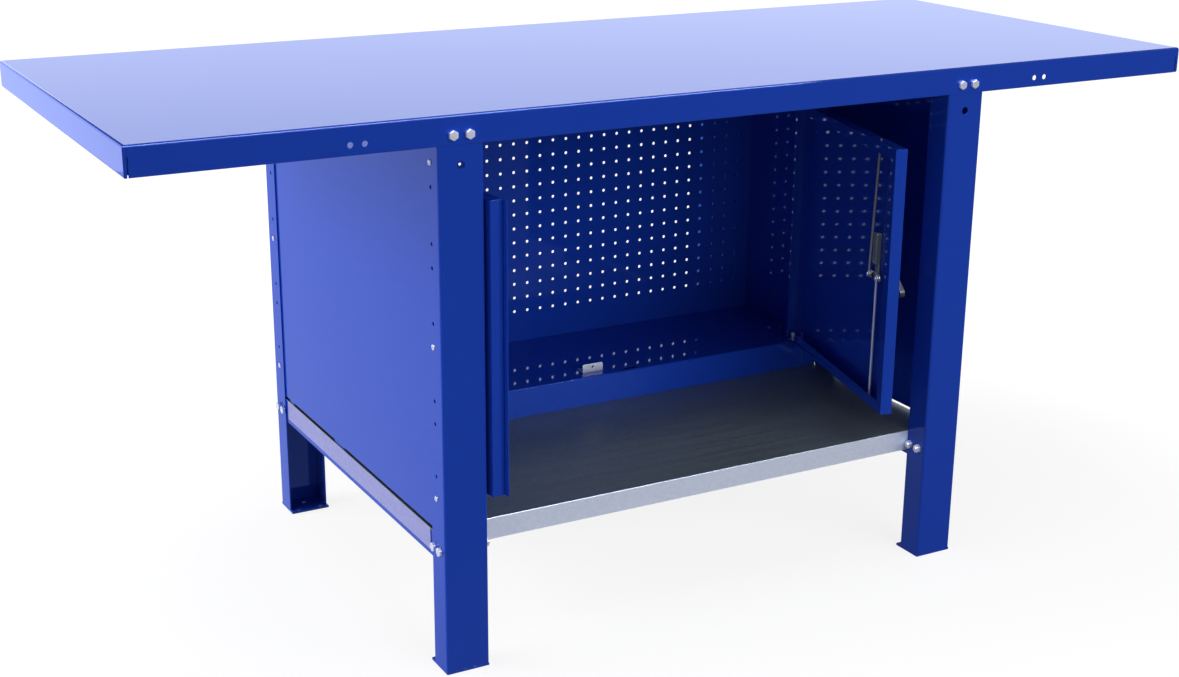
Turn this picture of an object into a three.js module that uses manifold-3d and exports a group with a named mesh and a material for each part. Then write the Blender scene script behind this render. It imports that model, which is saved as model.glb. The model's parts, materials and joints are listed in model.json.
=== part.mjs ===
// Workbench with a two-door cabinet under a folded sheet-steel top.
// Millimetres. X runs along the top, Y from front to rear, Z up from the floor.
import * as THREE from "three";
import { mergeVertices } from "three/addons/utils/BufferGeometryUtils.js";
import Module from "manifold-3d";

const wasm = await Module();
wasm.setup();

// Top
const TOP_LENGTH = 1820;
const TOP_DEPTH = 740;
const BENCH_HEIGHT = 850;
const SKIRT = 43;
const TOP_SHEET = 2;
const TOP_BEND = 4;
const SKIRT_BEND = 3;
const SKIRT_RETURN = 18;
const CORNER_SLIT = 1.6;
const STIFFENER_WIDTH = 60;
const STIFFENER_SHEET = 1.5;
const SPARE_HOLE_REACH = 151; // from a leg's centre to the middle of the spare hole pair
const SPARE_HOLE_SPACING = 21;

// Legs
const LEG_SPREAD = 962; // over the outer faces of the legs
const LEG_WIDTH = 70;
const LEG_DEPTH = 45;
const LEG_SHEET = 2.5;
const LEG_BEND = 3.5;
const WEB_HOLE_R = 6;
const FLANGE_HOLE_R = 3;
const HOLE_PAIRS = 5;
const HOLE_PAIR_SPACING = 35;
const FOOT_PLATE = 4;
const FOOT_REACH = 12;
const ANCHOR_R = 4.5;

// Shelf and side stretchers
const SHELF_TOP = 220;
const SHELF_SHEET = 1.2;
const SHELF_LIP = 35;
const SHELF_BEND = 2;
const STRETCHER_HEIGHT = 43;
const STRETCHER_SHEET = 2;
const STRETCHER_BEND = 3;

// Bolts
const BOLT_R = 4;
const BOLT_FLATS = 13;
const BOLT_HEAD = 5.3;
const BOLT_NUT = 6.5;
const BOLT_TAIL = 2.5; // thread past the nut
const BOLT_SPACING = 25;

// Cabinet
const CABINET_SETBACK = 412; // from the top's front edge to the cabinet's front face
const BACK_SETBACK = 85; // from the top's rear edge to the back panel's front face
const PANEL_SHEET = 1.2;
const PANEL_LIFT = 4.5; // slit between a side panel and the shelf
const PANEL_FLANGE = 20;
const FRAME_SHEET = 1.5;
const FRAME_BEND = 3;
const POST_WIDTH = 32.3;
const POST_DEPTH = 45;
const FLOOR_RAISE = 53; // from the shelf to the cabinet floor
const UPPER_RAIL = 75.5;
const STOP_WIDTH = 41;
const STOP_HEIGHT = 15.5;
const STOP_FOOT = 22;
const STOP_SHEET = 2;
const STOP_SHIFT = 5; // from the meeting line of the doors, to the right
const STOP_HOLE_R = 2.3;

// Doors
const DOOR_THICKNESS = 20;
const DOOR_SHEET = 1.5;
const DOOR_LIP = 18.5; // width of the lip along the top, bottom and free edge
const HINGE_LIP = 10;
const LIP_NOTCH = 45; // from the hinge edge to where the upper and lower lips begin
const DOOR_GAP = 4.5; // under and over the doors
const MEETING_GAP = 3;
const SWING_CLEARANCE = 0.86; // between a door's turning corner and its post
const LEG_CLEARANCE = 1; // between the open left door and its front leg
const RIGHT_OPEN = 76; // degrees
const STOP_STRIP_WIDTH = 28;
const STOP_STRIP_REACH = 10.5; // past the left door's free edge
const PIVOT_R = 4;
const PIVOT_SHOULDER_R = 7;
const PIVOT_ENTRY = 9;

// Lock
const LOCK_INSET = 81; // from the right door's free edge to the spindle
const LOCK_RAISE = 217; // from the door's bottom edge to the spindle
const LOCK_CASE = 4; // thickness of the plate behind the cam
const CASE_BODY = 9.5; // thickness of the case above the cam
const CASE_WIDTH = 14;
const CASE_HEIGHT = 82;
const CAM_ARM = 16;
const CAM_END_R = 6;
const CAM_SHEET = 2.5;
const SPINDLE_R = 4;
const ROD_R = 2.25;
const ROD_EYE_R = 5.5;
const ROD_TIP = 2; // past the door's edge when the lock is open
const ROD_LEAN_UP = 18; // sideways run of the upper rod
const ROD_LEAN_DOWN = 2; // sideways run of the lower rod
const ROD_SLOT = 30;
const HANDLE_ARM = 42;
const HANDLE_DIP = 32; // degrees that the lever hangs below level
const HANDLE_R = 7;
const HANDLE_STAND = 20; // from the door to the lever's near side
const HANDLE_SHEET = 10;
const HANDLE_BOSS_R = 12;

const FIT = 0.3; // running or seating gap
const PLAY = 0.5; // gap between pieces that pass each other
const ROUND = 12; // sides of a pin or an open hole
const SMALL_ROUND = 8; // sides of a bolt shank, its hole or a screw hole

// Planes that several pieces share
const topUnder = BENCH_HEIGHT - TOP_SHEET;
const skirtBottom = BENCH_HEIGHT - SKIRT;
const boltZ = BENCH_HEIGHT - 0.65 * SKIRT;
const frameTop = skirtBottom - 1;
const legOuter = LEG_SPREAD / 2;
const legInner = legOuter - LEG_WIDTH;
const legCentre = legOuter - LEG_WIDTH / 2;
const webFace = TOP_DEPTH / 2 - TOP_SHEET;
const flangeEnd = webFace - LEG_DEPTH;
const flangeHoleY = webFace - 0.59 * LEG_DEPTH;
const shelfBoltYs = [webFace - 0.35 * LEG_DEPTH, webFace - 0.83 * LEG_DEPTH];
const shelfUnder = SHELF_TOP - SHELF_SHEET;
const stretcherBottom = shelfUnder - STRETCHER_HEIGHT;
const shelfBoltZ = (shelfUnder + stretcherBottom) / 2;
const panelOuter = legOuter - LEG_SHEET;
const panelInner = panelOuter - PANEL_SHEET;
const frontY = CABINET_SETBACK - TOP_DEPTH / 2;
const backY = TOP_DEPTH / 2 - BACK_SETBACK;
const floorTop = SHELF_TOP + FLOOR_RAISE;
const railUnder = frameTop - UPPER_RAIL;
const postInner = panelInner - POST_WIDTH;
const doorBottom = floorTop + DOOR_GAP;
const doorTop = railUnder - DOOR_GAP;
const pivotInset = DOOR_THICKNESS / 2;
const pivotX = postInner - Math.SQRT2 * pivotInset - SWING_CLEARANCE;
const pivotY = frontY + pivotInset;
const hingeEdge = pivotX + pivotInset;
const freeEdge = MEETING_GAP / 2;

// The left door stands open until its face comes near the free edge of the front leg's flange.
const legReach = Math.hypot(pivotX - legInner, pivotY + flangeEnd);
const legBearing = Math.atan2(pivotX - legInner, pivotY + flangeEnd);
const leftOpen = Math.acos((pivotInset + LEG_CLEARANCE) / legReach) - legBearing;
const rightOpen = THREE.MathUtils.degToRad(RIGHT_OPEN);

// The stop strip's sheet, behind both shut doors
const stripY = [frontY + DOOR_THICKNESS + FIT, frontY + DOOR_THICKNESS + FIT + DOOR_SHEET];

// The lock's layers, from the door's outer sheet inwards
const caseY = [frontY + DOOR_SHEET + FIT, frontY + DOOR_SHEET + FIT + LOCK_CASE];
const camY = [caseY[1] + PLAY, caseY[1] + PLAY + CAM_SHEET];
const rodY = camY[1] + PLAY + ROD_R;
const lockX = freeEdge + LOCK_INSET;
const lockZ = doorBottom + LOCK_RAISE;
const handleDip = THREE.MathUtils.degToRad(HANDLE_DIP);

const FINISH = {
  paint: { color: "#21409f", roughness: 0.35, metalness: 0.0 },
  galvanised: { color: "#a9adb8", roughness: 0.4, metalness: 0.9 },
  zinc: { color: "#c9ccd2", roughness: 0.3, metalness: 1.0 },
  black: { color: "#1c1d20", roughness: 0.5, metalness: 0.0 },
};

// A closed three.js geometry as a solid.
function solid(geometry) {
  const bare = new THREE.BufferGeometry();
  const flat = geometry.index ? geometry.toNonIndexed() : geometry;
  bare.setAttribute("position", flat.getAttribute("position"));
  const merged = mergeVertices(bare, 1e-4);
  const index = merged.index.array;
  const triVerts = [];
  for (let i = 0; i < index.length; i += 3) {
    const [a, b, c] = [index[i], index[i + 1], index[i + 2]];
    if (a !== b && b !== c && c !== a) {
      triVerts.push(a, b, c);
    }
  }
  return new wasm.Manifold(
    new wasm.Mesh({
      numProp: 3,
      vertProperties: merged.attributes.position.array,
      triVerts: new Uint32Array(triVerts),
    }),
  );
}

// An outline pushed along an axis. It is given as (x, y) for "z", (x, z) for "y" and (y, z) for "x".
function prism(points, axis, low, high) {
  const shape = new THREE.Shape(points.map(([u, v]) => new THREE.Vector2(u, v)));
  const geometry = new THREE.ExtrudeGeometry(shape, { depth: 1, bevelEnabled: false });
  const position = geometry.getAttribute("position");
  for (let i = 0; i < position.count; i += 1) {
    const u = position.getX(i);
    const v = position.getY(i);
    const far = position.getZ(i) > 0.5;
    if (axis === "z") {
      position.setXYZ(i, u, v, far ? high : low);
    } else if (axis === "x") {
      position.setXYZ(i, far ? high : low, u, v);
    } else {
      position.setXYZ(i, u, far ? low : high, v);
    }
  }
  return solid(geometry);
}

function rectangle([u0, u1], [v0, v1]) {
  return [
    [u0, v0],
    [u1, v0],
    [u1, v1],
    [u0, v1],
  ];
}

// A box from its limits along X, Y and Z.
function block(x, y, z) {
  return prism(rectangle(x, y), "z", z[0], z[1]);
}

function arc(cx, cy, r, from, to, steps) {
  return Array.from({ length: steps + 1 }, (_, i) => {
    const a = THREE.MathUtils.degToRad(from + ((to - from) * i) / steps);
    return [cx + r * Math.cos(a), cy + r * Math.sin(a)];
  });
}

function circle(cx, cy, r, sides) {
  return arc(cx, cy, r, 180 / sides, 360 + 180 / sides, sides).slice(0, sides);
}

function hexagon(cx, cy) {
  return circle(cx, cy, BOLT_FLATS / Math.sqrt(3), 6);
}

// A rectangle whose upper and lower corners are rounded.
function roundedRectangle([u0, u1], [v0, v1], low, high) {
  return [
    ...arc(u0 + low, v0 + low, low, 180, 270, 3),
    ...arc(u1 - low, v0 + low, low, 270, 360, 3),
    ...arc(u1 - high, v1 - high, high, 0, 90, 4),
    ...arc(u0 + high, v1 - high, high, 90, 180, 4),
  ];
}

// A folded channel: u runs across it and v from the outside of its web to its open side.
function channel(width, depth, sheet, bend) {
  const w = width / 2;
  return [
    [-w, depth],
    ...arc(-w + bend, bend, bend, 180, 270, 4),
    ...arc(w - bend, bend, bend, 270, 360, 4),
    [w, depth],
    [w - sheet, depth],
    [w - sheet, sheet],
    [-w + sheet, sheet],
    [-w + sheet, depth],
  ];
}

// A bar with round ends.
function capsule(from, to, r) {
  const angle = THREE.MathUtils.radToDeg(Math.atan2(to[1] - from[1], to[0] - from[0]));
  return [
    ...arc(from[0], from[1], r, angle + 90, angle + 270, 8),
    ...arc(to[0], to[1], r, angle - 90, angle + 90, 8),
  ];
}

// A round bar between two points.
function bar(from, to, r) {
  const run = new THREE.Vector3().subVectors(to, from);
  const geometry = new THREE.CylinderGeometry(r, r, run.length(), ROUND);
  const up = new THREE.Vector3(0, 1, 0);
  geometry.applyQuaternion(new THREE.Quaternion().setFromUnitVectors(up, run.normalize()));
  const middle = new THREE.Vector3().addVectors(from, to).multiplyScalar(0.5);
  geometry.translate(middle.x, middle.y, middle.z);
  return solid(geometry);
}

function cut(body, tools) {
  return tools.reduce((rest, tool) => rest.subtract(tool), body);
}

function join(bodies) {
  return bodies.reduce((sum, body) => sum.add(body));
}

const part = new THREE.Group();
const bench = new THREE.Group();
part.add(bench);

function piece(name, body, finish, parent = bench) {
  const mesh = body.getMesh();
  const geometry = new THREE.BufferGeometry();
  geometry.setAttribute("position", new THREE.BufferAttribute(mesh.vertProperties, 3));
  geometry.setIndex(new THREE.BufferAttribute(mesh.triVerts, 1));
  geometry.computeVertexNormals();
  const node = new THREE.Mesh(geometry, new THREE.MeshStandardMaterial(FINISH[finish]));
  node.name = name;
  parent.add(node);
}

const SIDES = [
  ["left", -1],
  ["right", 1],
];
const ENDS = [
  ["front", -1],
  ["rear", 1],
];

// Limits of a slab that lies between two distances from the middle, on the side that sign names.
function span(sign, near, far) {
  return sign < 0 ? [-far, -near] : [near, far];
}

// Round holes through a sheet, along X or Y.
function hole(axis, u, v, r, along, sides = ROUND) {
  return prism(circle(u, v, r, sides), axis, along[0], along[1]);
}

function boltHole(axis, u, v, along) {
  return hole(axis, u, v, BOLT_R + FIT, along, SMALL_ROUND);
}

// The folded top: a rounded block, hollowed from below, with returns along the skirt's lower edge.
function benchTop() {
  const x = [-TOP_LENGTH / 2, TOP_LENGTH / 2];
  const y = [-TOP_DEPTH / 2, TOP_DEPTH / 2];
  const z = [skirtBottom, BENCH_HEIGHT];
  const innerX = TOP_LENGTH / 2 - TOP_SHEET;
  const below = [skirtBottom - 1, topUnder];
  const lip = [skirtBottom, skirtBottom + TOP_SHEET];
  const shell = cut(block(x, y, z), [block([-innerX, innerX], [-webFace, webFace], below)]);
  const endReach = innerX - SKIRT_RETURN - PLAY;
  const sideReach = webFace - SKIRT_RETURN - PLAY;
  const returns = [];
  const notches = [];
  for (const [, sy] of ENDS) {
    const depth = span(sy, webFace - SKIRT_RETURN, webFace + TOP_SHEET / 2);
    returns.push(block([-endReach, endReach], depth, lip));
    for (const [, sx] of SIDES) {
      const width = span(sx, legInner - 1, legOuter + 1);
      notches.push(block(width, span(sy, 0, webFace), [lip[0] - 1, lip[1] + 1]));
      const through = span(sy, webFace - 1, webFace + TOP_SHEET + 1);
      for (const shift of [-BOLT_SPACING / 2, BOLT_SPACING / 2]) {
        notches.push(boltHole("y", sx * legCentre + shift, boltZ, through));
      }
      for (const shift of [-SPARE_HOLE_SPACING / 2, SPARE_HOLE_SPACING / 2]) {
        const spareX = sx * (legCentre + SPARE_HOLE_REACH) + shift;
        notches.push(hole("y", spareX, boltZ, BOLT_R + FIT, through));
      }
      const slitStart = innerX - 1.4 * TOP_SHEET - CORNER_SLIT;
      const slit = span(sx, slitStart, slitStart + CORNER_SLIT);
      notches.push(block(slit, through, [skirtBottom - 1, skirtBottom + 0.66 * SKIRT]));
    }
  }
  for (const [, sx] of SIDES) {
    const width = span(sx, innerX - SKIRT_RETURN, innerX + TOP_SHEET / 2);
    returns.push(block(width, [-sideReach, sideReach], lip));
  }
  const along = prism(roundedRectangle(y, z, SKIRT_BEND, TOP_BEND), "x", x[0], x[1]);
  const across = prism(roundedRectangle(x, z, SKIRT_BEND, TOP_BEND), "y", y[0], y[1]);
  return cut(join([shell, ...returns]).intersect(along).intersect(across), notches);
}

// A hat channel fixed by its two flanges under the top.
function stiffener(y) {
  const w = STIFFENER_WIDTH / 2;
  const t = STIFFENER_SHEET;
  const low = BENCH_HEIGHT - 0.72 * SKIRT;
  const flange = w + 0.3 * STIFFENER_WIDTH;
  const half = [
    [flange, topUnder],
    [flange, topUnder - t],
    [w, topUnder - t],
    [w, low],
  ];
  const hollow = [
    [w - t, low + t],
    [w - t, topUnder],
  ];
  const mirror = (points) => points.map(([u, v]) => [-u, v]).reverse();
  const outline = [...half, ...mirror(half), ...mirror(hollow), ...hollow];
  const reach = TOP_LENGTH / 2 - TOP_SHEET - SKIRT_RETURN - 5;
  return prism(
    outline.map(([u, v]) => [u + y, v]),
    "x",
    -reach,
    reach,
  );
}

// A leg, open towards the middle of the bench, with its bolt, screw and cable holes.
function leg(sx, sy) {
  const outline = channel(LEG_WIDTH, LEG_DEPTH, LEG_SHEET, LEG_BEND);
  const place = ([u, v]) => [sx * legCentre + u, sy * (webFace - v)];
  const web = span(sy, webFace - LEG_SHEET - 1, webFace + 1);
  const outerFlange = span(sx, panelOuter - 1, legOuter + 1);
  const holes = [hole("y", sx * legCentre, boltZ - SKIRT, WEB_HOLE_R, web)];
  for (const shift of [-BOLT_SPACING / 2, BOLT_SPACING / 2]) {
    holes.push(boltHole("y", sx * legCentre + shift, boltZ, web));
  }
  for (const y of shelfBoltYs) {
    const through = span(sx, legInner - 1, legOuter + 1);
    holes.push(boltHole("x", sy * y, shelfBoltZ, through));
  }
  const lowest = floorTop + 5;
  const highest = skirtBottom - 0.6 * SKIRT - HOLE_PAIR_SPACING;
  for (let i = 0; i < HOLE_PAIRS; i += 1) {
    const z = lowest + ((highest - lowest) * i) / (HOLE_PAIRS - 1);
    for (const rise of [0, HOLE_PAIR_SPACING]) {
      const at = [sy * flangeHoleY, z + rise];
      holes.push(hole("x", at[0], at[1], FLANGE_HOLE_R, outerFlange, SMALL_ROUND));
    }
  }
  return cut(prism(outline.map(place), "z", FOOT_PLATE, topUnder), holes);
}

function footPlate(sx, sy) {
  const y = span(sy, flangeEnd - FOOT_REACH, webFace);
  const plate = block(span(sx, legInner, legOuter), y, [0, FOOT_PLATE]);
  const edgeY = sy * (flangeEnd - FOOT_REACH / 2 + 2);
  const spots = [
    [sx * legCentre - 0.3 * LEG_WIDTH, edgeY],
    [sx * legCentre + 0.3 * LEG_WIDTH, edgeY],
    [sx * legCentre, sy * (webFace - 0.45 * LEG_DEPTH)],
  ];
  const drill = ([u, v]) => prism(circle(u, v, ANCHOR_R, ROUND), "z", -1, FOOT_PLATE + 1);
  return cut(plate, spots.map(drill));
}

// An inverted channel between the flanges of a front leg and a rear leg.
function sideStretcher(sx) {
  const width = LEG_WIDTH - 2 * LEG_SHEET;
  const outline = channel(width, STRETCHER_HEIGHT, STRETCHER_SHEET, STRETCHER_BEND);
  const place = ([u, v]) => [sx * legCentre + u, shelfUnder - v];
  const reach = webFace - LEG_SHEET - 1;
  const through = span(sx, legInner, legOuter);
  const holes = ENDS.flatMap(([, sy]) =>
    shelfBoltYs.map((y) => boltHole("x", sy * y, shelfBoltZ, through)),
  );
  return cut(prism(outline.map(place), "y", -reach, reach), holes);
}

// The shelf tray lies on the stretchers; its lips are cut away at the corners, round the legs.
function shelf() {
  const halfX = legOuter - 1;
  const halfY = flangeEnd - 1;
  const x = [-halfX, halfX];
  const y = [-halfY, halfY];
  const z = [SHELF_TOP - SHELF_LIP, SHELF_TOP];
  const insideX = halfX - SHELF_SHEET;
  const insideY = halfY - SHELF_SHEET;
  const below = [z[0] - 1, shelfUnder];
  const tools = [block([-insideX, insideX], [-insideY, insideY], below)];
  for (const [, sx] of SIDES) {
    for (const [, sy] of ENDS) {
      tools.push(block(span(sx, legInner + 1, halfX + 1), span(sy, halfY - 10, halfY + 1), below));
    }
  }
  const along = prism(roundedRectangle(y, z, 0.1, SHELF_BEND), "x", x[0], x[1]);
  const across = prism(roundedRectangle(x, z, 0.1, SHELF_BEND), "y", y[0], y[1]);
  return cut(along.intersect(across), tools);
}

function sidePanel(sx) {
  const reach = webFace - LEG_SHEET - 1.5;
  const z = [SHELF_TOP + PANEL_LIFT, frameTop];
  return block(span(sx, panelInner, panelOuter), [-reach, reach], z);
}

// The back sheet stands on the shelf, with flanges turned back at its sides and foot.
function backPanel() {
  const z = [SHELF_TOP, frameTop];
  const inner = panelInner - PANEL_SHEET;
  const outer = block([-panelInner, panelInner], [backY, backY + PANEL_FLANGE], z);
  const hollowY = [backY + PANEL_SHEET, backY + PANEL_FLANGE + 1];
  return cut(outer, [block([-inner, inner], hollowY, [z[0] + PANEL_SHEET, z[1] + 1])]);
}

// A long slot for a lock rod, cut through a level sheet.
function rodSlot(x, z) {
  const r = ROD_R + 2;
  const half = ROD_SLOT / 2 - r;
  return prism(capsule([x - half, rodY], [x + half, rodY], r), "z", z[0], z[1]);
}

// The cabinet floor with its front rail and its rear fold.
function cabinetFloor() {
  const depth = backY - frontY;
  const outline = channel(depth, FLOOR_RAISE, FRAME_SHEET, FRAME_BEND);
  const place = ([u, v]) => [frontY + depth / 2 + u, floorTop - v];
  const reach = panelInner - PLAY;
  const tools = SIDES.map(([, sx]) =>
    block(
      span(sx, postInner, panelInner + 1),
      [frontY - 1, frontY + POST_DEPTH + PLAY],
      [SHELF_TOP - 1, floorTop + 1],
    ),
  );
  tools.push(rodSlot(lowerRodEnd.x + ROD_SLOT / 5, [floorTop - FRAME_SHEET - 1, floorTop + 1]));
  return cut(prism(outline.map(place), "x", -reach, reach), tools);
}

// An angle plate on the cabinet floor that both shut doors rest against.
function doorStop() {
  const x = [STOP_SHIFT - STOP_WIDTH / 2, STOP_SHIFT + STOP_WIDTH / 2];
  const y = stripY[1] + FIT;
  const z = [floorTop, floorTop + STOP_HEIGHT];
  const outline = roundedRectangle(x, z, 0.1, 3);
  const plate = prism(outline, "y", y, y + STOP_SHEET);
  const foot = block(x, [y, y + STOP_FOOT], [z[0], z[0] + STOP_SHEET]);
  const through = [y - 1, y + STOP_SHEET + 1];
  return cut(join([plate, foot]), [
    hole("y", STOP_SHIFT, z[0] + 0.58 * STOP_HEIGHT, STOP_HOLE_R, through),
  ]);
}

function hingePost(sx) {
  const outline = channel(POST_WIDTH, POST_DEPTH, FRAME_SHEET, FRAME_BEND);
  const place = ([u, v]) => [sx * (postInner + POST_WIDTH / 2) + u, frontY + v];
  return prism(outline.map(place), "z", SHELF_TOP, frameTop);
}

// The rail over the doors, open to the rear, with the slot that takes the upper rod.
function upperRail() {
  const outline = channel(UPPER_RAIL, POST_DEPTH, FRAME_SHEET, FRAME_BEND);
  const place = ([u, v]) => [frontY + v, railUnder + UPPER_RAIL / 2 + u];
  const rail = prism(outline.map(place), "x", -postInner, postInner);
  return cut(rail, [rodSlot(upperRodEnd.x, [railUnder - 1, railUnder + FRAME_SHEET + 1])]);
}

// A shouldered pin from a frame sheet into a door, upwards or downwards.
function pivot(sx, seat, way) {
  const upright = (r, from, to) => {
    const z = [seat + way * from, seat + way * to].sort((a, b) => a - b);
    return prism(circle(sx * pivotX, pivotY, r, ROUND), "z", z[0], z[1]);
  };
  const shoulder = upright(PIVOT_SHOULDER_R, 0, DOOR_GAP - FIT);
  return join([shoulder, upright(PIVOT_R, 1, DOOR_GAP + PIVOT_ENTRY)]);
}

// A door as it stands when shut: a tray open to the rear, with lips turned in round its edge.
function doorTray(sx) {
  const x = span(sx, freeEdge, hingeEdge);
  const y = [frontY, frontY + DOOR_THICKNESS];
  const z = [doorBottom, doorTop];
  const shrink = ([a, b], by) => [a + by, b - by];
  const lipY = [y[1] - 2 * DOOR_SHEET, y[1] + 1];
  const window = span(sx, freeEdge + DOOR_LIP, hingeEdge - HINGE_LIP);
  const notch = span(sx, hingeEdge - LIP_NOTCH, hingeEdge - HINGE_LIP);
  const tools = [
    block(shrink(x, DOOR_SHEET), shrink(y, DOOR_SHEET), shrink(z, DOOR_SHEET)),
    block(window, lipY, shrink(z, DOOR_LIP)),
    block(notch, lipY, shrink(z, DOOR_SHEET)),
  ];
  for (const edge of [doorBottom, doorTop]) {
    const along = [edge - 2 * DOOR_SHEET, edge + 2 * DOOR_SHEET];
    const round = circle(sx * pivotX, pivotY, PIVOT_R + FIT, ROUND);
    tools.push(prism(round, "z", along[0], along[1]));
  }
  return cut(block(x, y, z), tools);
}

// The strip lies on the inside of the left door and reaches behind the right door.
function stopStrip() {
  const tip = -freeEdge + STOP_STRIP_REACH;
  return block([tip - STOP_STRIP_WIDTH, tip], stripY, [doorBottom, doorTop]);
}

// Rods, with the right door shut: from an eye over the cam's end to the door's edge
const upperRodEye = new THREE.Vector3(lockX + CAM_ARM, rodY, lockZ);
const upperRodEnd = new THREE.Vector3(upperRodEye.x - ROD_LEAN_UP, rodY, doorTop + ROD_TIP);
const lowerRodEye = new THREE.Vector3(lockX - CAM_ARM, rodY, lockZ);
const lowerRodEnd = new THREE.Vector3(lowerRodEye.x + ROD_LEAN_DOWN, rodY, doorBottom - ROD_TIP);

function lockRod(eye, end) {
  const ring = [rodY - ROD_R + FIT, rodY + ROD_R - FIT];
  return join([bar(eye, end, ROD_R), hole("y", eye.x, eye.z, ROD_EYE_R, ring)]);
}

// The part of a rod's path that crosses a door edge, with its play.
function rodPath(eye, end) {
  const beyond = end.clone().addScaledVector(new THREE.Vector3().subVectors(end, eye), 0.1);
  const before = end.clone().lerp(eye, 0.1);
  return bar(before, beyond, ROD_R + FIT);
}

function rightDoor() {
  const tools = [rodPath(upperRodEye, upperRodEnd), rodPath(lowerRodEye, lowerRodEnd)];
  tools.push(hole("y", lockX, lockZ, SPINDLE_R + PLAY, [frontY - 1, frontY + DOOR_SHEET + 1]));
  return cut(doorTray(1), tools);
}

function lockCase() {
  const x = [lockX - CASE_WIDTH / 2, lockX + CASE_WIDTH / 2];
  const z = [lockZ - 0.1 * CASE_HEIGHT, lockZ + 0.9 * CASE_HEIGHT];
  const body = block(x, [caseY[0], caseY[0] + CASE_BODY], [lockZ + CAM_ARM + CAM_END_R, z[1]]);
  const bore = hole("y", lockX, lockZ, SPINDLE_R + PLAY, [caseY[0] - 1, caseY[1] + 1]);
  return cut(join([block(x, caseY, z), body]), [bore]);
}

function lockCam() {
  const ends = [
    [upperRodEye.x, upperRodEye.z],
    [lowerRodEye.x, lowerRodEye.z],
  ];
  const lever = prism(capsule(ends[0], ends[1], CAM_END_R), "y", camY[0], camY[1]);
  return cut(lever, [hole("y", lockX, lockZ, SPINDLE_R + FIT, [camY[0] - 1, camY[1] + 1])]);
}

// The lever stands off the door on a boss; its spindle ends in a head behind the cam.
function lockHandle() {
  const near = frontY - HANDLE_STAND;
  const far = near - HANDLE_SHEET;
  const tip = [
    lockX - HANDLE_ARM * Math.cos(handleDip),
    lockZ - HANDLE_ARM * Math.sin(handleDip),
  ];
  const head = [camY[1] + FIT, camY[1] + FIT + CAM_SHEET];
  return join([
    prism(capsule([lockX, lockZ], tip, HANDLE_R), "y", far, near),
    hole("y", lockX, lockZ, HANDLE_R + 2, [far, frontY - 1]),
    hole("y", lockX, lockZ, HANDLE_BOSS_R, [frontY - 0.4 * HANDLE_STAND, frontY - FIT]),
    hole("y", lockX, lockZ, SPINDLE_R, [far + 1, head[1] - 1]),
    hole("y", lockX, lockZ, SPINDLE_R + 3, head),
  ]);
}

// A hexagon bolt run tight in its nut. The limits are its head, its shank and its nut.
function bolt(axis, u, v, head, shank, nut) {
  return join([
    prism(hexagon(u, v), axis, head[0], head[1]),
    hole(axis, u, v, BOLT_R, shank, SMALL_ROUND),
    prism(hexagon(u, v), axis, nut[0], nut[1]),
  ]);
}

function skirtBolt(sx, sy, shift) {
  const skirtFace = TOP_DEPTH / 2;
  const webInside = webFace - LEG_SHEET;
  const nutEnd = webInside - BOLT_NUT;
  return bolt(
    "y",
    sx * legCentre + shift,
    boltZ,
    span(sy, skirtFace, skirtFace + BOLT_HEAD),
    span(sy, nutEnd - BOLT_TAIL, skirtFace + BOLT_HEAD / 2),
    span(sy, nutEnd, webInside),
  );
}

function shelfBolt(sx, sy, y) {
  const nutEnd = legInner - BOLT_NUT;
  return bolt(
    "x",
    sy * y,
    shelfBoltZ,
    span(sx, legOuter, legOuter + BOLT_HEAD),
    span(sx, nutEnd - BOLT_TAIL, legOuter + BOLT_HEAD / 2),
    span(sx, nutEnd, legInner),
  );
}

piece("bench_top", benchTop(), "paint");
piece("shelf", shelf(), "galvanised");
piece("back_panel", backPanel(), "paint");
piece("cabinet_floor", cabinetFloor(), "paint");
piece("door_stop", doorStop(), "zinc");
piece("upper_rail", upperRail(), "paint");
for (const [end, sy] of ENDS) {
  piece(`top_stiffener_${end}`, stiffener(sy * 0.24 * TOP_DEPTH), "paint");
}
for (const [side, sx] of SIDES) {
  piece(`side_stretcher_${side}`, sideStretcher(sx), "paint");
  piece(`side_panel_${side}`, sidePanel(sx), "paint");
  piece(`hinge_post_${side}`, hingePost(sx), "paint");
  piece(`lower_pivot_${side}`, pivot(sx, floorTop, 1), "zinc");
  piece(`upper_pivot_${side}`, pivot(sx, railUnder, -1), "zinc");
  for (const [end, sy] of ENDS) {
    piece(`leg_${end}_${side}`, leg(sx, sy), "paint");
    piece(`foot_plate_${end}_${side}`, footPlate(sx, sy), "paint");
    [-BOLT_SPACING / 2, BOLT_SPACING / 2].forEach((shift, i) => {
      piece(`skirt_bolt_${end}_${side}_${i + 1}`, skirtBolt(sx, sy, shift), "zinc");
    });
    shelfBoltYs.forEach((y, i) => {
      piece(`shelf_bolt_${end}_${side}_${i + 1}`, shelfBolt(sx, sy, y), "zinc");
    });
  }
}

// Each door is drawn shut and turned open about its pivots.
function openDoor(sx, angle) {
  const hinge = new THREE.Group();
  hinge.position.set(sx * pivotX, pivotY, 0);
  hinge.rotation.z = angle;
  const leaf = new THREE.Group();
  leaf.position.set(-sx * pivotX, -pivotY, 0);
  hinge.add(leaf);
  bench.add(hinge);
  return leaf;
}

const leftLeaf = openDoor(-1, -leftOpen);
piece("left_door", doorTray(-1), "paint", leftLeaf);
piece("left_door_stop_strip", stopStrip(), "paint", leftLeaf);

const rightLeaf = openDoor(1, rightOpen);
piece("right_door", rightDoor(), "paint", rightLeaf);
piece("lock_case", lockCase(), "black", rightLeaf);
piece("lock_cam", lockCam(), "zinc", rightLeaf);
piece("lock_handle", lockHandle(), "black", rightLeaf);
piece("upper_rod", lockRod(upperRodEye, upperRodEnd), "zinc", rightLeaf);
piece("lower_rod", lockRod(lowerRodEye, lowerRodEnd), "zinc", rightLeaf);

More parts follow.
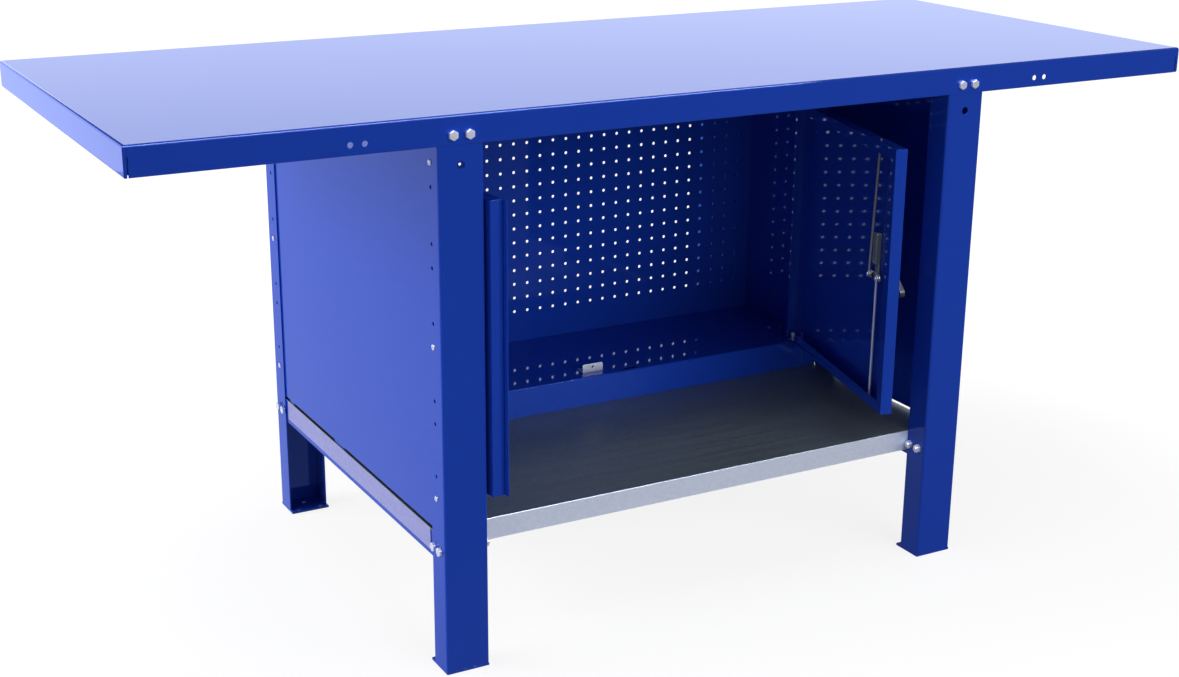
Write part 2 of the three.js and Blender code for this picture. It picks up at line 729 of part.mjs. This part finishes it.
// The frame's origin is under the middle of the whole object, open doors included.
const bounds = new THREE.Box3().setFromObject(bench, true);
bench.position.y = -(bounds.min.y + bounds.max.y) / 2;

export default part;
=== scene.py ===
"""Looks for the workbench: paint, sheet metal, the perforated back, screws, light and camera."""
import json
import math

import bmesh
import bpy
from mathutils import Matrix, Vector

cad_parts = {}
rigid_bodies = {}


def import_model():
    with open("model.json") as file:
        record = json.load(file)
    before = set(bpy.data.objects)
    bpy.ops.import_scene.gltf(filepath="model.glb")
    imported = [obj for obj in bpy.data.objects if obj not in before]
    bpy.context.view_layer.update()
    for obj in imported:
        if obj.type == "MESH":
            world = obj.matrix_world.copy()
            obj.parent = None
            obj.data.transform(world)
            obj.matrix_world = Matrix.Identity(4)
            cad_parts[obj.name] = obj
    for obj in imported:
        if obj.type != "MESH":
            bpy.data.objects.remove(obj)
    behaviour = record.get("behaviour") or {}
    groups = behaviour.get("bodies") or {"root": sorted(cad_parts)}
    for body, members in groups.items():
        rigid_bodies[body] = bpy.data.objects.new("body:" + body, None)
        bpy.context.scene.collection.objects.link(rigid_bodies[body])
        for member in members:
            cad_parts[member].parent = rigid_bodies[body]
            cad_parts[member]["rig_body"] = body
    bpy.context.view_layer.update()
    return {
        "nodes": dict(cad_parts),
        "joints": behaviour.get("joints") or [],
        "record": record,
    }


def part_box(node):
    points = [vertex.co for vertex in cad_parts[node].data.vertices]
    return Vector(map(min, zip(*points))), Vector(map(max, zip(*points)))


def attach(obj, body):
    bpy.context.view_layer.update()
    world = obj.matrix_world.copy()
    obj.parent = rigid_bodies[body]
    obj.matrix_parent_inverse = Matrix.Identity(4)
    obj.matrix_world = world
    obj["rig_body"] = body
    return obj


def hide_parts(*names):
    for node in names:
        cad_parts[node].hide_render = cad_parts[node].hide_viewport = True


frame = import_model()

MM = 0.001

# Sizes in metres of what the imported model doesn't give
HOLE_PITCH_X = 0.0269
HOLE_PITCH_Z = 0.0265
HOLE_R = 0.0028
HOLE_COLUMNS = 34
HOLE_ROWS = 17
FIRST_ROW = 0.331
PANEL_SHEET = 0.0012
SCREW_R = 0.0045
SCREW_HEIGHT = 0.0022
SCREW_LEVELS = (0.278, 0.5121, 0.7812)
RIVET_R = 0.0036
RIVET_HEIGHT = 0.0018
ROD_EYE = 0.0102
TOP_SHEET = 0.002
TAB_GAP = 0.0002
TAB_WIDTH = 0.014
TAB_HEIGHT = 0.031
TAB_SHEET = 0.0015
TONGUE_LENGTH = 0.066
TONGUE_HEIGHT = 0.012
CAM_REACH = 0.022
CAM_CLEARANCE = 0.0006

# Shares: the screws' place in the depth of a leg, and the socket's half width in a screw's radius
SCREW_SETBACK = 0.59
SOCKET_SHARE = 0.36

# How far each finish's edges are rounded, and what counts as one point or one flat face
EDGE = {"paint": 0.0005, "galvanised": 0.0004, "zinc": 0.0007, "black": 0.0012}
SHARP_ANGLE = math.radians(50)
FLAT_ANGLE = math.radians(0.6)
SAME_POINT = 0.000002
TILE_SEAM = 0.00001


def linear(colour):
    """An sRGB hex colour as the linear values that a shader takes."""
    parts = [int(colour[i : i + 2], 16) / 255 for i in (1, 3, 5)]
    return [c / 12.92 if c <= 0.04045 else ((c + 0.055) / 1.055) ** 2.4 for c in parts] + [1.0]


def add(tree, kind, inputs=None, **settings):
    """A new node with its settings, and with its inputs set or linked."""
    node = tree.nodes.new(kind)
    for name, value in settings.items():
        setattr(node, name, value)
    for name, value in (inputs or {}).items():
        if isinstance(value, bpy.types.NodeSocket):
            tree.links.new(value, node.inputs[name])
        else:
            node.inputs[name].default_value = value
    return node


def surface(name, **values):
    """A material with one Principled shader, and its node tree."""
    material = bpy.data.materials.new(name)
    material.use_nodes = True
    tree = material.node_tree
    shader = tree.nodes["Principled BSDF"]
    for socket, value in values.items():
        shader.inputs[socket.replace("_", " ")].default_value = value
    return material, tree, shader


# Where nearly all of a noise's values lie
NOISE_SPAN = {"From Min": 0.3, "From Max": 0.7}


def mottled(name, tone, gloss, grain, **values):
    """A finish whose tone, roughness and relief each follow noise; sizes and depth in millimetres."""
    material, tree, shader = surface(name, **values)
    at = add(tree, "ShaderNodeTexCoord").outputs["Object"]
    clouds = []
    for part in (tone, gloss, grain):
        inputs = {"Vector": at, "Scale": 1 / (part["size"] * MM), "Detail": part["detail"]}
        clouds.append(add(tree, "ShaderNodeTexNoise", inputs).outputs["Fac"])
    inputs = {0: clouds[0], 6: linear(tone["dark"]), 7: linear(tone["light"])}
    colour = add(tree, "ShaderNodeMix", inputs, data_type="RGBA").outputs[2]
    inputs = {"Value": clouds[1], "To Min": gloss["smooth"], "To Max": gloss["rough"], **NOISE_SPAN}
    roughness = add(tree, "ShaderNodeMapRange", inputs).outputs["Result"]
    inputs = {"Height": clouds[2], "Strength": 1.0, "Distance": grain["depth"] * MM}
    normal = add(tree, "ShaderNodeBump", inputs).outputs["Normal"]
    tree.links.new(colour, shader.inputs["Base Color"])
    tree.links.new(roughness, shader.inputs["Roughness"])
    tree.links.new(normal, shader.inputs["Normal"])
    return material


def powder_coat():
    """Gloss blue powder coat: a smooth mirroring film, a little cloudy, with faint orange peel.

    The peel is drawn at 6 mm, coarser than on the real film, so that it shows.
    """
    return mottled(
        "blue_powder_coat",
        tone={"size": 250, "detail": 3, "dark": "#143aa5", "light": "#173dab"},
        gloss={"size": 50, "detail": 3, "smooth": 0.03, "rough": 0.05},
        grain={"size": 6, "detail": 1, "depth": 0.001},
        IOR=1.5,
        Specular_Tint=linear("#a8c0ff"),
    )


def zinc_plate():
    """Bright zinc plating on turned and pressed steel: a pale soft shine with fine tool marks."""
    return mottled(
        "zinc_plate",
        tone={"size": 6, "detail": 3, "dark": "#dcdee3", "light": "#f6f7fa"},
        gloss={"size": 1.5, "detail": 2, "smooth": 0.28, "rough": 0.4},
        grain={"size": 0.6, "detail": 1, "depth": 0.006},
        Metallic=0.6,
    )


def lock_steel_and_shaded_rod():
    """Blackened steel of the lock case, also put on the upper rod as painted shade: a dull grey sheen
    with a fine grain.
    """
    return mottled(
        "dark_lock_steel_and_shaded_rod",
        tone={"size": 10, "detail": 3, "dark": "#8e8f86", "light": "#a4a59c"},
        gloss={"size": 2, "detail": 2, "smooth": 0.38, "rough": 0.52},
        grain={"size": 0.8, "detail": 2, "depth": 0.01},
        Metallic=0.7,
    )


def handle_plastic():
    """Moulded dark grey plastic of the lever: half matt, with a fine spark-eroded texture."""
    return mottled(
        "handle_plastic",
        tone={"size": 20, "detail": 2, "dark": "#2a2b2f", "light": "#35363b"},
        gloss={"size": 4, "detail": 2, "smooth": 0.4, "rough": 0.5},
        grain={"size": 0.7, "detail": 2, "depth": 0.02},
        IOR=1.46,
    )


# Galvanised sheet: its crystals and rolling marks in millimetres, its roughness, and its tone by which
# way a face points: the lips pale as painted light, the flat dark as painted shade
CRYSTAL_SIZE = 4
CRYSTAL_ROUGHNESS = 0.03
MARK_LENGTH = 250
MARK_WIDTH = 3.846
MARK_DEPTH = 0.002
MARK_ROUGHNESS = {"To Min": 0.34, "To Max": 0.4}
END_TO_FRONT_METALLIC = {"To Min": 0.88, "To Max": 0.4}
SHEET_LIT_AND_SHADED_TONES = {
    "end lips": ("#bab6d8", "#c6c2e2"),
    "front lips": ("#e0e8f6", "#e9effa"),
    "flat": ("#858d80", "#8e9689"),
}


def galvanised():
    """Galvanised sheet: fine crystals and rolling marks along X, with its tone painted by which way
    each face points.

    The flat is painted dark as painted shade, the lips at the front and back are painted pale and dull
    as painted light, and those at the ends a little darker.
    """
    material, tree, shader = surface("galvanised_sheet_painted_light_and_shade")
    at = add(tree, "ShaderNodeTexCoord").outputs["Object"]
    inputs = {"Vector": at, "Scale": 1 / (CRYSTAL_SIZE * MM), "Randomness": 1.0}
    crystals = add(tree, "ShaderNodeTexVoronoi", inputs).outputs["Color"]
    crystal = add(tree, "ShaderNodeSeparateColor", {"Color": crystals}).outputs
    stretch = [1 / (size * MM) for size in (MARK_LENGTH, MARK_WIDTH, MARK_WIDTH)]
    along = add(tree, "ShaderNodeMapping", {"Vector": at, "Scale": stretch}).outputs["Vector"]
    inputs = {"Vector": along, "Scale": 1.0, "Detail": 3.0}
    marks = add(tree, "ShaderNodeTexNoise", inputs).outputs["Fac"]
    facing = add(tree, "ShaderNodeNewGeometry").outputs["Normal"]
    way = add(tree, "ShaderNodeSeparateXYZ", {"Vector": facing}).outputs
    level = add(tree, "ShaderNodeMath", {0: way["Z"]}, operation="ABSOLUTE").outputs[0]
    ahead = add(tree, "ShaderNodeMath", {0: way["Y"]}, operation="ABSOLUTE").outputs[0]
    # Lit and shaded copies of one galvanised tone, picked by facing: painted light on the lips, painted
    # shade on the flat
    lit_and_shaded_tones = {}
    for part, (dark, light) in SHEET_LIT_AND_SHADED_TONES.items():
        inputs = {0: crystal["Red"], 6: linear(dark), 7: linear(light)}
        lit_and_shaded_tones[part] = add(tree, "ShaderNodeMix", inputs, data_type="RGBA").outputs[2]
    inputs = {0: ahead, 6: lit_and_shaded_tones["end lips"], 7: lit_and_shaded_tones["front lips"]}
    lips = add(tree, "ShaderNodeMix", inputs, data_type="RGBA").outputs[2]
    inputs = {0: level, 6: lips, 7: lit_and_shaded_tones["flat"]}
    colour = add(tree, "ShaderNodeMix", inputs, data_type="RGBA").outputs[2]
    inputs = {"Value": ahead, **END_TO_FRONT_METALLIC}
    metallic = add(tree, "ShaderNodeMapRange", inputs).outputs["Result"]
    inputs = {"Value": marks, **NOISE_SPAN, **MARK_ROUGHNESS}
    rolled = add(tree, "ShaderNodeMapRange", inputs).outputs["Result"]
    inputs = {0: crystal["Green"], 1: CRYSTAL_ROUGHNESS}
    dulled = add(tree, "ShaderNodeMath", inputs, operation="MULTIPLY").outputs[0]
    roughness = add(tree, "ShaderNodeMath", {0: rolled, 1: dulled}, operation="ADD").outputs[0]
    inputs = {"Height": marks, "Strength": 1.0, "Distance": MARK_DEPTH * MM}
    normal = add(tree, "ShaderNodeBump", inputs).outputs["Normal"]
    tree.links.new(colour, shader.inputs["Base Color"])
    tree.links.new(metallic, shader.inputs["Metallic"])
    tree.links.new(roughness, shader.inputs["Roughness"])
    tree.links.new(normal, shader.inputs["Normal"])
    return material


paint = powder_coat()
sheet = galvanised()
zinc = zinc_plate()
steel = lock_steel_and_shaded_rod()
plastic = handle_plastic()
FINISH = {"paint": paint, "galvanised": sheet, "zinc": zinc, "black": steel}
# The upper rod takes the dark lock steel, not the zinc of the lower rod, as painted shade
OWN_FINISH_AND_ROD_SHADE = {"lock_handle": plastic, "upper_rod": steel}


def mesh_object(name, shape):
    """A bmesh as an object of the scene."""
    mesh = bpy.data.meshes.new(name)
    shape.normal_update()
    shape.to_mesh(mesh)
    shape.free()
    obj = bpy.data.objects.new(name, mesh)
    bpy.context.collection.objects.link(obj)
    return obj


def plain_mesh(obj):
    """The object's modifiers made part of its mesh."""
    bpy.context.view_layer.update()
    graph = bpy.context.evaluated_depsgraph_get()
    result = bpy.data.meshes.new_from_object(obj.evaluated_get(graph))
    obj.modifiers.clear()
    obj.data = result


def soften(obj, edge):
    """Rounds the sharp edges and shades bends smoothly, with the broad faces kept flat."""
    for polygon in obj.data.polygons:
        polygon.use_smooth = True
    rounding = obj.modifiers.new("edge", "BEVEL")
    rounding.width = edge
    rounding.segments = 2
    rounding.limit_method = "ANGLE"
    rounding.angle_limit = SHARP_ANGLE
    rounding.use_clamp_overlap = False
    rounding.loop_slide = False
    rounding.miter_outer = "MITER_ARC"
    obj.modifiers.new("flat", "WEIGHTED_NORMAL").keep_sharp = True
    plain_mesh(obj)


LOCK = next(joint for joint in frame["joints"] if joint["name"] == "lock_turn")


def clear_of_cam(shape):
    """Raises the foot of the lock case's body, so that the tip of the cam turns free of it."""
    foot = LOCK["pos_m"][2] + CAM_REACH
    for vert in shape.verts:
        if abs(vert.co.z - foot) < CAM_CLEARANCE / 2:
            vert.co.z += CAM_CLEARANCE


def finished(entry):
    """A solid of the frame with softened edges and its finish; the upper rod and the galvanised sheet
    carry painted shade and light in theirs.
    """
    node, slot = entry["node"], entry["material_slot"]
    shape = bmesh.new()
    shape.from_mesh(frame["nodes"][node].data)
    bmesh.ops.remove_doubles(shape, verts=shape.verts, dist=SAME_POINT)
    bmesh.ops.dissolve_limit(shape, angle_limit=FLAT_ANGLE, verts=shape.verts, edges=shape.edges)
    if node == "lock_case":
        clear_of_cam(shape)
    copy = mesh_object(f"finished_{node}", shape)
    copy.data.materials.clear()
    copy.data.materials.append(OWN_FINISH_AND_ROD_SHADE.get(node, FINISH[slot]))
    soften(copy, EDGE[slot])
    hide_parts(node)
    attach(copy, frame["nodes"][node]["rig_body"])


def repeated(name, template, points, turns, material):
    """A template set on each point and turned as its list says, by Geometry Nodes, as one mesh."""
    mesh = bpy.data.meshes.new(name)
    mesh.from_pydata(points, [], [])
    turn = mesh.attributes.new("turn", "FLOAT_VECTOR", "POINT")
    turn.data.foreach_set("vector", [c for t in turns for c in t])
    carrier = bpy.data.objects.new(name, mesh)
    bpy.context.collection.objects.link(carrier)
    tree = bpy.data.node_groups.new(name, "GeometryNodeTree")
    tree.interface.new_socket("Geometry", in_out="INPUT", socket_type="NodeSocketGeometry")
    shown = tree.interface.new_socket("Template", in_out="INPUT", socket_type="NodeSocketObject")
    seam = tree.interface.new_socket("Seam", in_out="INPUT", socket_type="NodeSocketFloat")
    tree.interface.new_socket("Geometry", in_out="OUTPUT", socket_type="NodeSocketGeometry")
    given = add(tree, "NodeGroupInput").outputs
    source = add(tree, "GeometryNodeObjectInfo", {"Object": given["Template"]})
    angle = add(tree, "GeometryNodeInputNamedAttribute", {"Name": "turn"}, data_type="FLOAT_VECTOR")
    inputs = {
        "Points": given["Geometry"],
        "Instance": source.outputs["Geometry"],
        "Rotation": angle.outputs["Attribute"],
    }
    copies = add(tree, "GeometryNodeInstanceOnPoints", inputs)
    real = add(tree, "GeometryNodeRealizeInstances", {"Geometry": copies.outputs["Instances"]})
    inputs = {"Geometry": real.outputs["Geometry"], "Distance": given["Seam"]}
    joined = add(tree, "GeometryNodeMergeByDistance", inputs)
    inputs = {"Geometry": joined.outputs["Geometry"], "Material": material}
    painted = add(tree, "GeometryNodeSetMaterial", inputs)
    add(tree, "NodeGroupOutput", {"Geometry": painted.outputs["Geometry"]})
    modifier = carrier.modifiers.new(name, "NODES")
    modifier.node_group = tree
    modifier[shown.identifier] = template
    modifier[seam.identifier] = TILE_SEAM
    plain_mesh(carrier)
    bpy.data.objects.remove(template)
    return carrier


def perforated_tile():
    """The front of one square of the back sheet, with its round hole."""
    shape = bmesh.new()
    sides = 12
    square = []
    for u, v in ((1, 0), (1, 1), (0, 1), (-1, 1), (-1, 0), (-1, -1), (0, -1), (1, -1)):
        square.append(shape.verts.new((u * HOLE_PITCH_X / 2, 0, v * HOLE_PITCH_Z / 2)))
    hole = []
    for i in range(sides):
        a = 2 * math.pi * i / sides
        hole.append(shape.verts.new((HOLE_R * math.cos(a), 0, HOLE_R * math.sin(a))))
    for k in range(4):
        corner = [square[2 * k], square[2 * k + 1], square[(2 * k + 2) % 8]]
        quarter = [hole[(3 * k + j) % sides] for j in range(4)]
        shape.faces.new(corner + quarter[::-1])
    return mesh_object("tile", shape)


def perforated_back():
    """The back panel: rows of holes in one folded sheet, with flanges at its sides and foot."""
    low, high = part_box("back_panel")
    points = []
    for row in range(HOLE_ROWS):
        for column in range(HOLE_COLUMNS):
            x = (column - (HOLE_COLUMNS - 1) / 2) * HOLE_PITCH_X
            points.append((x, low.y, FIRST_ROW + row * HOLE_PITCH_Z))
    back = repeated("perforated_back", perforated_tile(), points, [(0, 0, 0)] * len(points), paint)
    shape = bmesh.new()
    shape.from_mesh(back.data)
    right = HOLE_COLUMNS / 2 * HOLE_PITCH_X
    bottom = FIRST_ROW - HOLE_PITCH_Z / 2
    top = bottom + HOLE_ROWS * HOLE_PITCH_Z
    near = HOLE_R / 10

    def outer(co):
        """Where a point on the rim of the rows goes on the sheet's outline."""
        x = math.copysign(high.x, co.x) if abs(abs(co.x) - right) < near else co.x
        z = low.z if abs(co.z - bottom) < near else high.z if abs(co.z - top) < near else co.z
        return Vector((x, co.y, z))

    rim = [e for e in shape.edges if e.is_boundary and all(outer(v.co) != v.co for v in e.verts)]
    border = bmesh.ops.extrude_edge_only(shape, edges=rim)["geom"]
    for vert in (g for g in border if isinstance(g, bmesh.types.BMVert)):
        vert.co = outer(vert.co)
    edges = [g for g in border if isinstance(g, bmesh.types.BMEdge)]
    turned = [e for e in edges if e.is_boundary and any(v.co.z < high.z - near for v in e.verts)]
    flange = bmesh.ops.extrude_edge_only(shape, edges=turned)["geom"]
    for vert in (g for g in flange if isinstance(g, bmesh.types.BMVert)):
        vert.co.y = high.y
    bmesh.ops.recalc_face_normals(shape, faces=shape.faces)
    if max(shape.faces, key=lambda face: face.calc_area()).normal.y > 0:
        bmesh.ops.reverse_faces(shape, faces=shape.faces)
    shape.to_mesh(back.data)
    shape.free()
    wall = back.modifiers.new("wall", "SOLIDIFY")
    wall.thickness = PANEL_SHEET
    wall.offset = -1
    wall.use_even_offset = True
    plain_mesh(back)
    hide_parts("back_panel")
    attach(back, "frame")


def tab_template(width, height):
    """A tab of sheet with clipped lower corners, standing in the X-Z plane with its top at Z 0."""
    shape = bmesh.new()
    half, clip = width / 2, min(width, height) / 4
    outline = [(-half, 0), (-half, clip - height), (clip - half, -height)]
    outline += [(-x, z) for x, z in outline[::-1]]
    shape.faces.new([shape.verts.new((x, -TAB_SHEET / 2, z)) for x, z in outline])
    body = bmesh.ops.extrude_face_region(shape, geom=shape.faces[:])["geom"]
    far = [g for g in body if isinstance(g, bmesh.types.BMVert)]
    bmesh.ops.translate(shape, verts=far, vec=(0, TAB_SHEET, 0))
    bmesh.ops.recalc_face_normals(shape, faces=shape.faces)
    tab = mesh_object("tab", shape)
    soften(tab, TAB_SHEET / 5)
    return tab


def corner_tabs():
    """Tabs folded from the ends of the top, behind the slits at its corners."""
    low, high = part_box("bench_top")
    inset = TOP_SHEET + TAB_GAP + TAB_SHEET / 2
    x = high.x - TOP_SHEET - TAB_GAP - TAB_WIDTH / 2
    z = high.z - TOP_SHEET
    points = [(side * x, y, z) for side in (-1, 1) for y in (low.y + inset, high.y - inset)]
    turns = [(0, 0, 0)] * len(points)
    tabs = repeated("corner_tabs", tab_template(TAB_WIDTH, TAB_HEIGHT), points, turns, paint)
    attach(tabs, "frame")


def panel_tongue():
    """The tongue by the hinge post that the right side panel stands on."""
    shelf_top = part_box("shelf")[1].z
    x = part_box("side_panel_right")[0].x - TAB_SHEET / 2
    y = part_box("hinge_post_right")[0].y - TONGUE_LENGTH / 2
    top = shelf_top + TONGUE_HEIGHT
    template = tab_template(TONGUE_LENGTH, TONGUE_HEIGHT)
    tongue = repeated("panel_tongue", template, [(x, y, top)], [(0, 0, math.pi / 2)], paint)
    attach(tongue, "frame")


def ring(shape, radii, height):
    """Points round the Z axis at one height, evenly spaced, each at its own radius."""
    points = []
    for i, radius in enumerate(radii):
        a = 2 * math.pi * i / len(radii)
        points.append(shape.verts.new((radius * math.cos(a), radius * math.sin(a), height)))
    return points


def skin(shape, rings):
    """Closes a stack of rings with a band between each two and a cap at each end."""
    for lower, upper in zip(rings, rings[1:]):
        for i in range(len(lower)):
            j = (i + 1) % len(lower)
            shape.faces.new((lower[i], lower[j], upper[j], upper[i]))
    shape.faces.new(rings[-1])
    shape.faces.new(rings[0][::-1])


def screw_template():
    """A pan-head screw with a hexagon socket, its axis along Z."""
    shape = bmesh.new()
    sides = 18
    # Radius and height as shares of the head's
    profile = [(1.0, 0.0), (1.0, 0.35), (0.93, 0.66), (0.78, 0.88), (0.55, 1.0)]
    rings = [ring(shape, [r * SCREW_R] * sides, z * SCREW_HEIGHT) for r, z in profile]
    socket = []
    for i in range(sides):
        turn = (2 * math.pi * i / sides) % (math.pi / 3) - math.pi / 6
        socket.append(SOCKET_SHARE * SCREW_R / math.cos(turn))
    for z in (1.0, 0.3):
        rings.append(ring(shape, socket, z * SCREW_HEIGHT))
    skin(shape, rings)
    bmesh.ops.recalc_face_normals(shape, faces=shape.faces)
    for face in shape.faces:
        face.smooth = len(face.verts) == 4
    return mesh_object("screw", shape)


def rivet_template():
    """A domed rivet head, its axis along Z."""
    shape = bmesh.new()
    sides, steps = 16, 4
    rings = []
    for step in range(steps):
        rise = math.pi / 2 * step / steps
        rings.append(ring(shape, [RIVET_R * math.cos(rise)] * sides, RIVET_HEIGHT * math.sin(rise)))
    skin(shape, rings)
    shape.normal_update()
    for face in shape.faces:
        face.smooth = face.normal.z > 0
    return mesh_object("rivet", shape)


def panel_screws():
    """Screws that hold the side panels, through the outer flanges of the legs."""
    points = []
    turns = []
    for side, way in (("left", -1), ("right", 1)):
        for end in ("front", "rear"):
            low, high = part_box(f"leg_{end}_{side}")
            x = low.x if way < 0 else high.x
            setback = SCREW_SETBACK * (high.y - low.y)
            y = low.y + setback if end == "front" else high.y - setback
            for z in SCREW_LEVELS:
                points.append((x, y, z))
                turns.append((0, way * math.pi / 2, 0))
    screws = repeated("panel_screws", screw_template(), points, turns, zinc)
    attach(screws, "frame")


def lock_rivets():
    """A rivet through each rod's eye, on the side that faces into the cabinet."""
    inward = -Vector(LOCK["axis"])
    turn = inward.to_track_quat("Z", "Y").to_euler()
    for rod, end in (("upper_rod", 0), ("lower_rod", 1)):
        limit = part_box(rod)[end].z
        eye = [v.co for v in frame["nodes"][rod].data.vertices if abs(v.co.z - limit) < ROD_EYE]
        middle = Vector([(min(c[k] for c in eye) + max(c[k] for c in eye)) / 2 for k in range(3)])
        face = max((c - middle).dot(inward) for c in eye)
        rivet = repeated(f"{rod}_rivet", rivet_template(), [middle + inward * face], [turn], zinc)
        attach(rivet, rod)


perforated_back()
corner_tabs()
panel_tongue()
panel_screws()
lock_rivets()
for subpart in frame["record"]["subparts"]:
    if subpart["node"] != "back_panel":
        finished(subpart)

# The white that the camera sees, and the pale blues that the gloss paint mirrors
WHITE = linear("#ffffff")
SKY = linear("#cbd6ff")
DAYLIGHT = linear("#d5dfff")
ROOM_LIGHT = 0.22

# The floor in metres, its greys, how it turns white away from the bench, and how the bench mirrors it
FLOOR_REACH = 9
FLOOR_DROP = 0.0005
SHADOW_GREY = (0.2, 0.2, 0.2, 1)
BOUNCE_GREY = (0.5, 0.5, 0.5, 1)
FADE = {"From Min": 1.0, "From Max": 2.0, "To Min": 0.84, "To Max": 1.0}
BACK_AND_LEFT = (-0.6, 1.0, 0.0)
SWEEP = {"From Min": -0.7, "From Max": 0.6, "To Min": 0.33, "To Max": 0.92}


def white_room():
    """A world that the camera sees as white, with a little even light from all round."""
    world = bpy.data.worlds.new("studio")
    bpy.context.scene.world = world
    world.use_nodes = True
    tree = world.node_tree
    tree.nodes.clear()
    seen = add(tree, "ShaderNodeBackground", {"Color": WHITE, "Strength": 1.0}).outputs[0]
    dim = add(tree, "ShaderNodeBackground", {"Color": WHITE, "Strength": ROOM_LIGHT}).outputs[0]
    path = add(tree, "ShaderNodeLightPath").outputs
    mix = add(tree, "ShaderNodeMixShader", {0: path["Is Camera Ray"], 1: dim, 2: seen})
    add(tree, "ShaderNodeOutputWorld", {"Surface": mix.outputs[0]})


def pale_floor():
    """A pale floor that keeps the bench's shadow and turns white away from it.

    The bench mirrors it as a sweep, dim in front and brighter towards the back and the left.
    """
    shape = bmesh.new()
    bmesh.ops.create_grid(shape, x_segments=1, y_segments=1, size=FLOOR_REACH)
    floor = mesh_object("floor", shape)
    floor.location.z = -FLOOR_DROP
    material = bpy.data.materials.new("pale_floor")
    material.use_nodes = True
    tree = material.node_tree
    tree.nodes.clear()
    path = add(tree, "ShaderNodeLightPath").outputs
    at = add(tree, "ShaderNodeTexCoord").outputs["Object"]
    inputs = {0: at, 1: BACK_AND_LEFT}
    behind = add(tree, "ShaderNodeVectorMath", inputs, operation="DOT_PRODUCT").outputs["Value"]
    sweep = add(tree, "ShaderNodeMapRange", {"Value": behind, **SWEEP}).outputs["Result"]
    mirrored = add(tree, "ShaderNodeEmission", {"Color": SKY, "Strength": sweep}).outputs[0]
    away = add(tree, "ShaderNodeVectorMath", {0: at}, operation="LENGTH").outputs["Value"]
    bright = add(tree, "ShaderNodeMapRange", {"Value": away, **FADE}).outputs["Result"]
    glow = add(tree, "ShaderNodeEmission", {"Strength": bright}).outputs[0]
    shade = add(tree, "ShaderNodeBsdfDiffuse", {"Color": SHADOW_GREY}).outputs[0]
    seen = add(tree, "ShaderNodeAddShader", {0: glow, 1: shade}).outputs[0]
    pale = add(tree, "ShaderNodeBsdfDiffuse", {"Color": BOUNCE_GREY}).outputs[0]
    inputs = {0: path["Is Glossy Ray"], 1: pale, 2: mirrored}
    unseen = add(tree, "ShaderNodeMixShader", inputs).outputs[0]
    mix = add(tree, "ShaderNodeMixShader", {0: path["Is Camera Ray"], 1: unseen, 2: seen})
    add(tree, "ShaderNodeOutputMaterial", {"Surface": mix.outputs[0]})
    floor.data.materials.append(material)


def glow_card(name, span, low, high, strength):
    """A pale card, from X to X and from a low to a high edge in Y and Z, seen only where mirrored."""
    shape = bmesh.new()
    corners = [(span[0], *low), (span[1], *low), (span[1], *high), (span[0], *high)]
    shape.faces.new([shape.verts.new(at) for at in corners])
    card = mesh_object(name, shape)
    material = bpy.data.materials.new(f"{name}_glow")
    material.use_nodes = True
    tree = material.node_tree
    tree.nodes.clear()
    glow = add(tree, "ShaderNodeEmission", {"Color": DAYLIGHT, "Strength": strength})
    add(tree, "ShaderNodeOutputMaterial", {"Surface": glow.outputs[0]})
    card.data.materials.append(material)
    card.visible_camera = False
    card.visible_diffuse = False
    card.visible_shadow = False


def soft_box(name, at, target, size, power):
    """A soft lamp that lights the bench and isn't mirrored in it."""
    light = bpy.data.lights.new(name, "AREA")
    light.shape = "RECTANGLE"
    light.size, light.size_y = size
    light.energy = power
    obj = bpy.data.objects.new(name, light)
    obj.location = at
    obj.rotation_euler = (Vector(target) - Vector(at)).to_track_quat("-Z", "Y").to_euler()
    obj.visible_camera = False
    obj.visible_glossy = False
    bpy.context.collection.objects.link(obj)


def studio():
    """A white room: three soft boxes light the bench, and three cards are there for it to mirror."""
    white_room()
    pale_floor()
    glow_card("backdrop", span=(-5, 8), low=(3.2, 0), high=(3.2, 1.7), strength=1.68)
    glow_card("low_card", span=(-1.5, 1.7), low=(-3.2, 2.0), high=(-2.1, 2.9), strength=4)
    glow_card("high_card", span=(-1.7, 1.9), low=(-2.17, 2.78), high=(-1.12, 3.16), strength=28)
    soft_box("left_box", at=(-3.4, 1.0, 1.1), target=(0, 0, 0.5), size=(3.0, 2.4), power=143)
    soft_box("top_box", at=(0.1, 0.2, 3.6), target=(0, 0, 0.6), size=(4.0, 3.0), power=56)
    soft_box("front_box", at=(0.9, -3.8, 1.7), target=(0, 0, 0.5), size=(3.6, 1.8), power=77)


# The photograph's view, fitted with the middle of the top at Y 0: metres, degrees and image pixels
VIEW_FROM = (-1.4484, -2.5480, 1.3076)
VIEW_YAW = 28.97
VIEW_PITCH = 18.02
VIEW_ROLL = 0.45
VIEW_FOCAL = 1771.1
PHOTO_WIDTH = 1179


def camera():
    """A camera at the photograph's viewing angle."""
    top_low, top_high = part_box("bench_top")
    at = Vector(VIEW_FROM) + Vector((0, (top_low.y + top_high.y) / 2, 0))
    yaw, pitch, roll = (math.radians(angle) for angle in (VIEW_YAW, VIEW_PITCH, VIEW_ROLL))
    ahead = Vector((math.sin(yaw) * math.cos(pitch), math.cos(yaw) * math.cos(pitch), -math.sin(pitch)))
    level = Vector((math.cos(yaw), -math.sin(yaw), 0))
    right = level * math.cos(roll) + level.cross(ahead) * math.sin(roll)
    up = right.cross(ahead)
    data = bpy.data.cameras.new("photo_view")
    data.lens = data.sensor_width * VIEW_FOCAL / PHOTO_WIDTH
    obj = bpy.data.objects.new("photo_view", data)
    matrix = Matrix((right, up, -ahead)).transposed().to_4x4()
    matrix.translation = at
    obj.matrix_world = matrix
    bpy.context.collection.objects.link(obj)
    bpy.context.scene.camera = obj


studio()
camera()
bpy.context.scene.view_settings.view_transform = "Standard"
